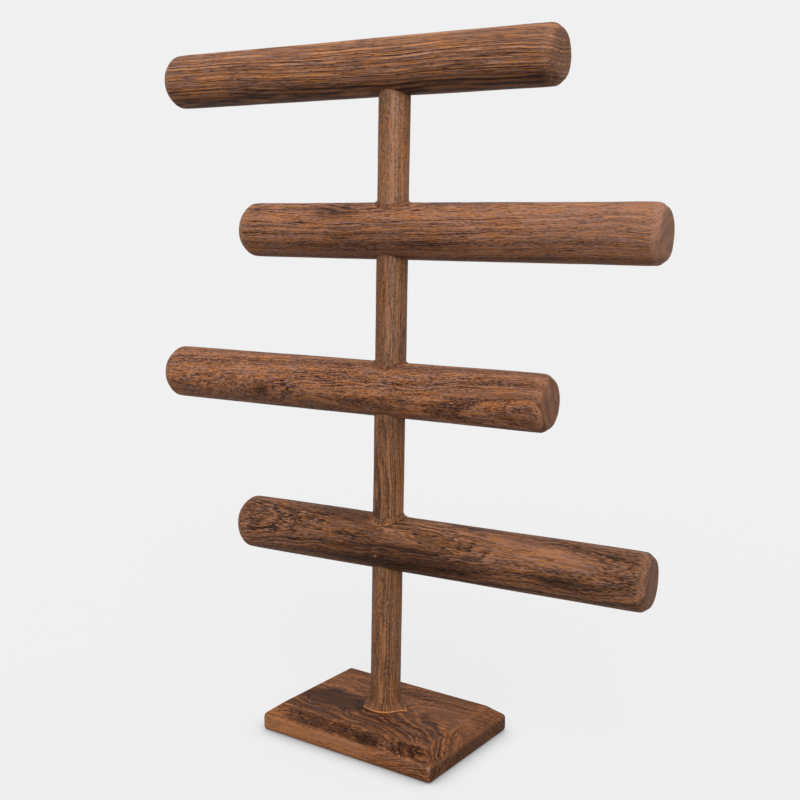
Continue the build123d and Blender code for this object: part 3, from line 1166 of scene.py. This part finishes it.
@dataclass
class BaseBoard:
    """The bevelled board that the stand rests on."""

    finish: WoodFinish
    figure: Figure
    node: str = "base_board"
    seed: int = 71
    length: float = 118.0
    width: float = 85.0
    turn: float = math.radians(-4.5)
    bevel_run: float = 8.5
    bevel_drop: float = 6.6
    corner_radius: float = 2.0
    corner_steps: int = 10
    lower_edge_radius: float = 2.0
    bevel_foot_radius: float = 3.0
    bevel_top_radius: float = 1.6
    middle_gap: float = 0.3
    spacing: float = 0.7
    swing: float = 0.12
    swing_length: float = 90.0
    edge_reach: float = 6.0
    ridge: float = 0.05
    ridge_spacing: float = 2.2
    chip: tuple[float, float, float] = (57.6, -42.4, 8.4)
    chip_depth: float = 0.9
    chip_reach: float = 2.2
    bare_reach: float = 1.5
    # How strong the wear is on the bevel's two edges, and how far it reaches.
    foot_wear: tuple[float, float] = (0.35, 1.3)
    top_wear: tuple[float, float] = (0.45, 0.9)
    # How strong the painted light on the front side is, as pale wear and as a smooth light figure,
    # where along the board it ends, and the length over which it comes in.
    front_painted_light: tuple[float, float, float] = (0.5, 20.0, 60.0)
    front_painted_calm: tuple[float, float, float] = (0.85, 48.0, 40.0)
    screw_hole_radius: float = 2.25
    screw_rim_height: float = 1.0
    cut_beyond: float = 1.0

    def __post_init__(self) -> None:
        """Read the board's thickness from its node, and halve its length and width."""
        self.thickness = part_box(self.node)[1].z / MM
        self.side_top = self.thickness - self.bevel_drop
        self.half_length, self.half_width = self.length / 2.0, self.width / 2.0

    def from_chip(self, along: Array, across: Array, height: Array, flatness: float) -> Array:
        """Squared distance from the chip's middle, with heights counted by its flatness."""
        gap_along, gap_across = along - self.chip[0], across - self.chip[1]
        return gap_along**2 + gap_across**2 + ((height - self.chip[2]) * flatness) ** 2

    def footprint(self) -> tuple[Array, Array, Array]:
        """Where the outline's points lie on the board's edge.

        The outline is a rectangle with round corners. Each of its points belongs to a point of
        the inner rectangle that joins the corners' centres, and lies one corner radius from it. A
        side and the corner after it are made once, facing right, and turned by each quarter.

        Returns:
            The point's share of the inner rectangle's half length, its share of the half width,
            and the direction that it faces, in radians.
        """
        quarter = TURN / 4.0
        corner = np.ones(self.corner_steps)
        corner_turn = np.linspace(0.0, quarter, self.corner_steps, endpoint=False)
        runs = (self.width, self.length, self.width, self.length)
        quarter_turns = ((1.0, 0.0), (0.0, 1.0), (-1.0, 0.0), (0.0, -1.0))
        parts = []
        for number, (run, (cosine, sine)) in enumerate(zip(runs, quarter_turns)):
            steps = round((run - 2.0 * self.corner_radius) / self.spacing)
            onward = np.concatenate([np.linspace(-1.0, 1.0, steps, endpoint=False), corner])
            facing = np.concatenate([np.zeros(steps), corner_turn]) + number * quarter
            parts.append((cosine - sine * onward, sine + cosine * onward, facing))
        share_x, share_y, facing = (np.concatenate(part) for part in zip(*parts))
        return share_x, share_y, facing

    def surface(self) -> tuple[Array, Array, Array]:
        """Place of every surface point in the board's own frame.

        The section runs from the middle of the underside out to the edge, up the side and the
        bevel, and back over the top. Each of its points is an inset from the outline and a
        height, and the outline shrinks by that inset, down to a line in the middle. The chip is a
        bell over the distance from its place.

        Returns:
            Place along, across and up, each rows by columns, in millimetres.
        """
        deepest, top = self.half_width - self.middle_gap, self.thickness
        corners = [(deepest, 0.0), (0.0, 0.0), (0.0, self.side_top), (self.bevel_run, top), (deepest, top)]
        radii = [self.lower_edge_radius, self.bevel_foot_radius, self.bevel_top_radius]
        section = soft_outline(corners, radii, self.spacing)
        inset, height = section[:, :1], section[:, 1:]
        share_x, share_y, facing = (values[None, :] for values in self.footprint())
        corner = self.corner_radius * (1.0 - inset / self.half_width)
        along = (self.half_length - inset - corner) * share_x + corner * np.cos(facing)
        across = (self.half_width - inset - corner) * share_y + corner * np.sin(facing)
        lift = height / self.thickness
        angle = np.arctan2(across, along)
        uneven = unevenness(angle, inset * 3.0 + height, self.seed, self.swing_length) - 1.0
        edge = bell(inset, self.edge_reach) * unit(height)
        dent = self.chip_depth * np.exp(-self.from_chip(along, across, height, 1.3) / self.chip_reach**2)
        out = edge * self.swing * uneven - dent
        along, across = along + out * np.cos(facing), across + out * np.sin(facing)
        rings = self.figure.rings(along, across, height + 0.0 * along)
        ridge = brushed(rings, self.ridge, self.ridge_spacing) * (lift > 0.99)
        return along, across, height + lift * (self.swing * uneven * 0.6 + ridge)

    def marks(self, along: Array, across: Array, up: Array) -> dict[str, Array]:
        """The wood's numbers at every point: its figure, the edges' wear and the chip's bare wood.

        Wear is a bell over the distance from each edge of the bevel. The front side is painted light:
        paler on its left as wear_and_painted_light, smooth and light all along as calm_and_lit, most of
        all on the left, and free of smoky stains and painted shade.

        Args:
            along: place along the board.
            across: place across it.
            up: height.

        Returns:
            The numbers by name, without graze.
        """
        values = self.figure.values(along, across, up, across, unit(up - 1.0))
        edge_gap = np.minimum(self.half_length - np.abs(along), self.half_width - np.abs(across))
        wear, reach = self.foot_wear
        on_foot = wear * (bell(up - self.side_top, reach) * (edge_gap < 2.0))
        wear, reach = self.top_wear
        on_top = wear * (bell(edge_gap - self.bevel_run, reach) * (up > self.thickness - 1.5))
        front_side = unit((-across - self.half_width + 1.6) / 1.2) * (up < self.side_top + 0.8)
        # Painted light on the front side: paler on the left, and a smooth light figure all along.
        wear, end, run = self.front_painted_light
        painted_front_light = wear * (front_side * unit((end - along) / run))
        values["wear_and_painted_light"] = np.maximum(np.maximum(on_foot, on_top), painted_front_light)
        values["stain_and_shade"] = values["stain_and_shade"] * (1.0 - front_side)
        calm_and_lit, end, run = self.front_painted_calm
        front_painted_calm = calm_and_lit * front_side * np.clip((end - along) / run, 0.2, 1.0)
        values["calm_and_lit"] = np.maximum(values["calm_and_lit"], front_painted_calm)
        values["end_grain"] = unit(np.abs(along) - self.half_length + 1.0)
        from_chip = self.from_chip(along, across, up, 1.0)
        values["bare"] = unit(1.6 * np.exp(-from_chip / self.bare_reach**2) - 0.3)
        return values

    def build(self, workshop: Workshop) -> None:
        """Make the board, cut its socket and countersunk screw hole, and fit it.

        Args:
            workshop: the shared groups.
        """
        along, across, up = self.surface()
        cosine, sine = math.cos(self.turn), math.sin(self.turn)
        level = np.stack([along, across], axis=-1) @ np.array([[cosine, -sine], [sine, cosine]]).T
        place = np.concatenate([level, up[..., None]], axis=-1)
        values = self.marks(along, across, up)
        values["graze"] = graze(values["ring"], place)
        board = round_solid(self.node, place * MM, values)
        bore = post_radius() + BORE_CLEARANCE
        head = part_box("base_screw")[1].x / MM
        hole, rim = self.screw_hole_radius, self.screw_rim_height
        socket_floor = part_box("post")[0].z / MM
        outline = [
            (head, -self.cut_beyond),
            (head, rim),
            (hole, head - hole + rim),
            (hole, socket_floor),
            (bore, socket_floor),
            (bore, self.thickness + self.cut_beyond),
        ]
        cut_round(board, outline, Vector())
        workshop.fit_wood(board, self.node, self.finish, GrainRun.LEVEL, self.turn, Vector())


@dataclass(frozen=True)
class Tip:
    """A place round a bead where the glue was squeezed further out, its angles in degrees."""

    angle: float
    extra: float
    spread: float


@dataclass
class GlueBead:
    """A bead of hardened glue where the post leaves a surface, thinning out to a raised rim.

    The lip and the light edge are each a place and a reach, in shares of the bead's width.
    """

    node: str
    width: float
    height: float
    seed: int
    lumps: float
    level: float
    bar_radius: float | None = None
    tips: tuple[Tip, ...] = ()
    rim_height: float = 0.45
    rim_shade: float = 1.0
    hollow: float = 2.6
    seat_overlap: float = 0.3
    seat_depth: float = 0.2
    streak: float = 0.09
    lip: tuple[float, float] = (0.93, 0.09)
    light_edge: tuple[float, float] = (0.72, 0.12)
    lump_length: float = 40.0
    columns: int = 192
    steps: int = 14

    def lump(self, around: Array, seed: int) -> Array:
        """Unevenness that changes with the angle alone."""
        return unevenness(around, around * 0.0, seed, self.lump_length)

    def ground(self, reach: Array, around: Array) -> Array:
        """Height of the surface that the bead lies on: flat, or the round top of a bar."""
        fall = reach * np.sin(around)
        return 0.0 * fall if self.bar_radius is None else np.sqrt(self.bar_radius**2 - fall**2)

    def build(self, workshop: Workshop, material: Material) -> None:
        """Make the bead and fit it.

        The face of the bead falls from the post as a power of the share of its width that is
        left, down to a thin rim. On a bar the surface below is round, so its height falls with
        the distance from the bar's own plane. The width swells at each tip as a bell. Streaks run
        across the face, one random shade for each column, blended with its neighbours. The rim's
        light edge is broken, and it shows at the front alone.

        Args:
            workshop: the shared groups.
            material: the glue's finish.
        """
        radius = post_radius()
        around = angles_round(self.columns)
        lump = 1.0 + self.lumps * self.lump(around, self.seed)
        lump = lump + self.lumps * 0.6 * self.lump(around * 4.0, self.seed + 5)
        width = self.width * lump
        for tip in self.tips:
            off = angle_from(around, math.radians(tip.angle))
            width = width + tip.extra * bell(off, math.radians(tip.spread))

        share = np.linspace(0.0, 1.0, self.steps)[:, None]
        face_reach = radius + width * share
        fall = (self.height * lump - self.rim_height) * (1.0 - share) ** self.hollow
        lip = bell(share - self.lip[0], self.lip[1])
        face_up = self.ground(face_reach, around) + fall + self.rim_height * lump * (0.55 + 0.6 * lip)
        seat_reach = radius - self.seat_overlap + (width + self.seat_overlap) * share
        seat_up = self.ground(seat_reach, around) - self.seat_depth
        reach = np.concatenate([seat_reach, face_reach[::-1]])
        up = np.concatenate([seat_up, face_up[::-1]])
        place = upright_grid(reach, around, up + self.level)

        edge_start, edge_run = self.light_edge
        rim = np.concatenate([1.0 * (share > 0.99), unit((share[::-1] - edge_start) / edge_run)])
        broken = unit(0.75 + self.lump(around * 3.0, self.seed + 9))
        broken = broken * np.clip(2.4 * np.cos(around - FRONT) - 0.2, 0.12, 1.0)
        streaks = np.random.default_rng(self.seed).uniform(-self.streak, self.streak, self.columns)
        streaks = streaks + 0.5 * (np.roll(streaks, 1) + np.roll(streaks, -1))
        values = {"rim": self.rim_shade * rim * broken, "streak": streaks[None, :] + 0.0 * rim}
        faces = grid_faces(*place.shape[:2], Ends.RING)
        bead = make_mesh(self.node, place.reshape(-1, 3) * MM, *faces, values)
        workshop.fit(bead, self.node, material)


@dataclass
class Hardware:
    """The driven pieces, whose solids already have their shape: screw, brads and hole fillers."""

    finishes: tuple[tuple[str, PlainFinish], ...] = (
        ("base_screw", SCREW_STEEL),
        ("joint_brads", BRAD_STEEL),
        ("brad_hole_fillers", FILLER),
    )

    def dress(self) -> None:
        """Give each node its finish."""
        for node, finish in self.finishes:
            piece = frame["nodes"][node]
            piece.data.materials.clear()
            piece.data.materials.append(finish.build())
            log.info("%s: dressed as %s", node, finish.slot)


# Studio


def towards(azimuth: float, elevation: float) -> Vector:
    """The direction at an angle round from the front, to the right, and an angle up, in radians."""
    level = Vector((math.sin(azimuth), -math.cos(azimuth), 0.0)) * math.cos(elevation)
    return Vector((level.x, level.y, math.sin(elevation)))


@dataclass(frozen=True)
class SoftLamp:
    """A broad, even light from one direction, its angles in degrees."""

    name: str
    azimuth: float
    elevation: float
    strength: float
    spread: float
    colour: Colour = WHITE


@dataclass
class Studio:
    """The pale floor, the even light round it and the camera."""

    backdrop: float = 0.871
    thrown_share: float = 0.24
    floor_own_light: float = 0.82
    contact_reach: float = 0.014
    contact_samples: int = 12
    # How open the floor is where the painted contact shadow is deepest and where it ends, and the
    # share of the light that is left there.
    contact_open: Point = (0.20, 1.0)
    contact_light: Point = (0.35, 1.0)
    ambient: float = 0.42
    lamps: tuple[SoftLamp, ...] = (
        SoftLamp("key", 18.0, 29.0, 2.2, 70.0, (1.0, 0.995, 0.98)),
        SoftLamp("side", 100.0, 25.0, 0.5, 60.0),
        SoftLamp("overhead", 0.0, 85.0, 0.65, 120.0),
    )
    camera_place: Vector = Vector((0.3146242, -0.5439840, 0.2875462))
    camera_azimuth: float = math.radians(29.5234)
    camera_elevation: float = math.radians(8.0219)
    camera_roll: float = math.radians(0.9571)
    camera_lens: float = 49.8567
    sensor_width: float = 36.0
    floor_size: float = 30.0

    def add_lamps(self) -> None:
        """Add the lamps as broad suns, so that the floor is lit alike all over."""
        for lamp in self.lamps:
            light = bpy.data.lights.new(lamp.name, "SUN")
            light.energy = lamp.strength
            light.angle = math.radians(lamp.spread)
            light.color = lamp.colour
            holder = bpy.data.objects.new(lamp.name, light)
            direction = towards(math.radians(lamp.azimuth), math.radians(lamp.elevation))
            holder.rotation_euler = direction.to_track_quat("Z", "Y").to_euler()
            bpy.context.scene.collection.objects.link(holder)

    def add_world(self) -> None:
        """Light from all round, with the plain backdrop wherever it is seen or mirrored."""
        world = bpy.data.worlds.new("studio")
        bpy.context.scene.world = world
        world.use_nodes = True
        world.node_tree.nodes.clear()
        sheet = Sheet(world.node_tree)
        seen = sheet.seen_by("Camera", "Glossy", "Transmission")
        light = sheet.node("ShaderNodeBackground", {"Color": WHITE, "Strength": self.ambient})
        grey = (self.backdrop, self.backdrop, self.backdrop)
        plain = sheet.node("ShaderNodeBackground", {"Color": grey, "Strength": 1.0})
        both = sheet.node("ShaderNodeMixShader", {0: seen, 1: light.outputs[0], 2: plain.outputs[0]})
        sheet.node("ShaderNodeOutputWorld", {"Surface": both.outputs[0]})

    def add_floor(self) -> None:
        """A wide pale floor that reaches the horizon, with the stand's shadow close to its foot.

        Where nothing shades it, the floor shows the backdrop's own grey, so its reflectance is that
        grey divided by the light that falls on it. Seen by the camera, most of its light is its own
        glow and the rest is what falls on it, both darkened by ambient occlusion within the reach of
        the contact shadow, so the shadow close to the stand's foot is painted shadow. To the stand it
        throws less light than it shows.
        """
        half = self.floor_size / 2.0
        corners = np.array([(-half, -half, 0.0), (half, -half, 0.0), (half, half, 0.0), (-half, half, 0.0)])
        floor = make_mesh("floor", corners, np.array([[0, 1, 2, 3]]), np.zeros((0, 3), int), {})
        material, sheet = new_material("pale_floor")
        sheet.tree.nodes.clear()
        seen = sheet.seen_by("Camera", "Glossy")
        reach = {"Distance": self.contact_reach}
        contact = sheet.node("ShaderNodeAmbientOcclusion", reach, samples=self.contact_samples).outputs["AO"]
        # The painted contact shadow: ambient occlusion darkens the floor close to the stand.
        painted_contact_shadow = sheet.between(contact, *self.contact_open, *self.contact_light)
        from_lamps = sum(lamp.strength * math.sin(math.radians(lamp.elevation)) for lamp in self.lamps)
        shown = sheet.times(painted_contact_shadow, self.backdrop / (self.ambient + from_lamps / math.pi))
        more = sheet.times(seen, sheet.math("SUBTRACT", shown, self.thrown_share))
        level = sheet.add(self.thrown_share, more)
        colour = sheet.node("ShaderNodeCombineColor", {0: level, 1: level, 2: level}).outputs[0]
        paint = sheet.node("ShaderNodeBsdfDiffuse", {"Color": colour})
        own = sheet.times(painted_contact_shadow, self.backdrop)
        glow = sheet.node("ShaderNodeEmission", {"Color": WHITE, "Strength": own})
        share = sheet.times(seen, self.floor_own_light)
        both = sheet.node("ShaderNodeMixShader", {0: share, 1: paint.outputs[0], 2: glow.outputs[0]})
        sheet.node("ShaderNodeOutputMaterial", {"Surface": both.outputs[0]})
        floor.data.materials.append(material)

    def add_camera(self) -> None:
        """Set the camera where the stand was seen from, a little to its right and above."""
        camera = bpy.data.cameras.new("camera")
        camera.lens = self.camera_lens
        camera.sensor_width = self.sensor_width
        holder = bpy.data.objects.new("camera", camera)
        azimuth, roll = self.camera_azimuth, self.camera_roll
        back = towards(azimuth, self.camera_elevation)
        right = Vector((math.cos(azimuth), math.sin(azimuth), 0.0))
        up = back.cross(right)
        level_right = right * math.cos(roll) + up * math.sin(roll)
        level_up = up * math.cos(roll) - right * math.sin(roll)
        turn = Matrix((level_right, level_up, back)).transposed().to_4x4()
        holder.matrix_world = Matrix.Translation(self.camera_place) @ turn
        bpy.context.scene.collection.objects.link(holder)
        bpy.context.scene.camera = holder

    def build(self) -> None:
        """Set up the whole studio."""
        bpy.context.scene.view_settings.view_transform = "Standard"
        self.add_lamps()
        self.add_world()
        self.add_floor()
        self.add_camera()
        log.info("studio: %d lamps", len(self.lamps))


# The stand

TOP_BAR_FIGURE = Figure(
    middle=(-8.0, 75.0), lean=(0.0, -0.015), wander=0.7, wavelength=240.0, seed=5,
    # Painted shade darkens the lower front along the whole bar, and painted sheen pales the upper front right
    # of the post.
    stains_and_shades=(Patch(0.0, -14.5, 400.0, 5.0, 0.9),),
    painted_sheens=(Patch(60.0, 13.0, 60.0, 6.0, 0.12),),
)
SECOND_BAR_FIGURE = Figure(
    middle=(22.0, -62.0), lean=(0.0, 0.015), wander=0.6, wavelength=190.0, seed=11,
    flames=(Flame((158.0, 1.0), (70.0, 3.0), 16.0, 0.0, 0.22, 0.0),),
    stains_and_shades=(Patch(-30.0, 10.0, 13.0, 4.0, 0.8), Patch(8.0, -6.0, 40.0, 7.0, 0.4)),
    # Painted sheen pales the right third of the front.
    painted_sheens=(Patch(135.0, 6.0, 50.0, 13.0, 0.34),),
)
THIRD_BAR_FIGURE = Figure(
    middle=(36.0, 21.0), lean=(0.04, 0.022), wander=0.5, wavelength=150.0, seed=23,
    flames=(
        Flame((125.0, 7.5), (28.0, 2.0), 3.4, 0.0, 0.7, 0.8),
        Flame((-50.0, 5.0), (-150.0, 6.0), 3.0, 0.5, 0.35, 0.5),
        Flame((-64.0, -3.7), (12.0, -1.5), 7.0, 1.0, 0.0, 2.2),
        Flame((58.0, -7.6), (104.0, -4.0), 5.0, 1.0, 0.0, 1.8),
    ),
    stains_and_shades=(Patch(-81.0, -5.8, 5.0, 3.0, 0.8), Patch(-15.0, -9.0, 45.0, 5.0, 0.35)),
)
BOTTOM_BAR_FIGURE = Figure(
    middle=(35.0, -20.0), lean=(-0.035, 0.02), wander=0.6, wavelength=120.0, seed=31,
    flames=(
        Flame((-36.0, 11.5), (24.0, 5.6), 3.7, 1.0, 0.75, 2.4),
        Flame((70.0, 12.6), (131.0, 6.5), 6.2, 0.3, 0.85, 2.0),
    ),
    stains_and_shades=(
        Patch(12.0, -4.0, 50.0, 9.0, 1.15),
        Patch(-22.0, 15.0, 22.0, 2.6, 0.8),
        Patch(112.0, -2.0, 22.0, 3.5, 0.7),
    ),
)
POST_FIGURE = Figure(
    middle=(40.0, -20.0), lean=(0.004, 0.01), wander=0.8, wavelength=260.0, seed=43,
    # The three lower segments are darker all round; on the lowest this is painted shade.
    stains_and_shades=(
        Patch(-145.0, 0.0, 60.0, 900.0, 0.34),
        Patch(-45.0, 0.0, 45.0, 900.0, 0.42),
        Patch(45.0, 0.0, 42.0, 900.0, 0.36),
    ),
    # A narrow band of painted sheen, a painted highlight, runs down the front of the two upper segments.
    painted_sheens=(Patch(145.0, 0.3, 80.0, 3.2, 0.42), Patch(45.0, 0.3, 50.0, 3.2, 0.28)),
)
BOARD_FIGURE = Figure(
    middle=(-4.0, -34.0), lean=(0.02, 0.09), wander=0.9, wavelength=90.0, seed=57,
    flames=(
        Flame((62.0, 9.0), (14.0, 7.0), 12.0, 0.0, 0.8, -2.0),
        Flame((-60.0, 14.0), (8.0, 13.0), 8.0, 0.5, 0.5, 0.0),
        Flame((32.0, -33.0), (62.0, -35.0), 4.5, 1.0, 0.0, -3.0),
    ),
    stains_and_shades=(
        Patch(-31.0, -11.0, 25.0, 8.5, 1.85),
        Patch(-10.0, -24.0, 60.0, 16.0, 0.4),
        Patch(-14.0, -38.0, 34.0, 4.0, 0.6),
        Patch(14.0, -39.5, 9.0, 3.2, 1.0),
        Patch(42.0, -37.5, 13.0, 3.6, 1.0),
        Patch(8.0, -22.0, 14.0, 5.0, 0.6),
        Patch(18.0, 22.0, 26.0, 3.5, 0.6),
        # The last patch is painted shade on the board's right end.
        Patch(60.0, 0.0, 4.0, 60.0, 0.6),
    ),
)


def build_stand(workshop: Workshop) -> None:
    """Make and fit every piece of the stand, from the board up.

    Args:
        workshop: the shared groups.
    """
    BaseBoard(BOARD_WOOD, BOARD_FIGURE).build(workshop)
    Post(POST_WOOD, POST_FIGURE).build(workshop)
    bottom_bar = RoundBar("bottom_bar", BOTTOM_BAR_WOOD, BOTTOM_BAR_FIGURE, seed=301)
    third_bar = RoundBar("third_bar", THIRD_BAR_WOOD, THIRD_BAR_FIGURE, seed=302, wear=0.25)
    second_bar = RoundBar("second_bar", SECOND_BAR_WOOD, SECOND_BAR_FIGURE, seed=303, wear=0.9)
    top_bar = RoundBar("top_bar", TOP_BAR_WOOD, TOP_BAR_FIGURE, seed=304)
    for bar in (bottom_bar, third_bar, second_bar):
        bar.build(workshop)
    top_bar.build(workshop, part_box("post")[1].z / MM - top_bar.middle.z / MM)
    board_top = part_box("base_board")[1].z / MM
    beads = (
        GlueBead(
            "foot_glue_bead", width=3.6, height=3.8, seed=409, lumps=0.10, level=board_top,
            tips=(Tip(-7.5, 3.4, 7.0), Tip(-130.0, 1.0, 9.0), Tip(62.0, 1.2, 12.0)),
        ),
        GlueBead(
            "bottom_bar_glue_bead", width=1.9, height=2.2, seed=401, lumps=0.35, level=bottom_bar.level,
            bar_radius=bottom_bar.radius, tips=(Tip(-150.0, 1.0, 10.0), Tip(-20.0, 0.4, 12.0)),
        ),
        GlueBead(
            "third_bar_glue_bead", width=1.0, height=1.0, seed=402, lumps=0.30, level=third_bar.level,
            bar_radius=third_bar.radius, rim_height=0.25, rim_shade=0.25,
        ),
        GlueBead(
            "second_bar_glue_bead", width=1.2, height=1.2, seed=403, lumps=0.30, level=second_bar.level,
            bar_radius=second_bar.radius, tips=(Tip(-35.0, 1.2, 25.0),), rim_height=0.30, rim_shade=0.4,
        ),
    )
    glue = GLUE.build()
    for bead in beads:
        bead.build(workshop, glue)
    Hardware().dress()


def main() -> None:
    """Dress the stand and set up the studio."""
    logging.basicConfig(level=logging.INFO, format="%(name)s: %(message)s")
    workshop = Workshop(build_grain_group(), build_wear_group())
    build_stand(workshop)
    Studio().build()


if __name__ == "__main__":
    main()
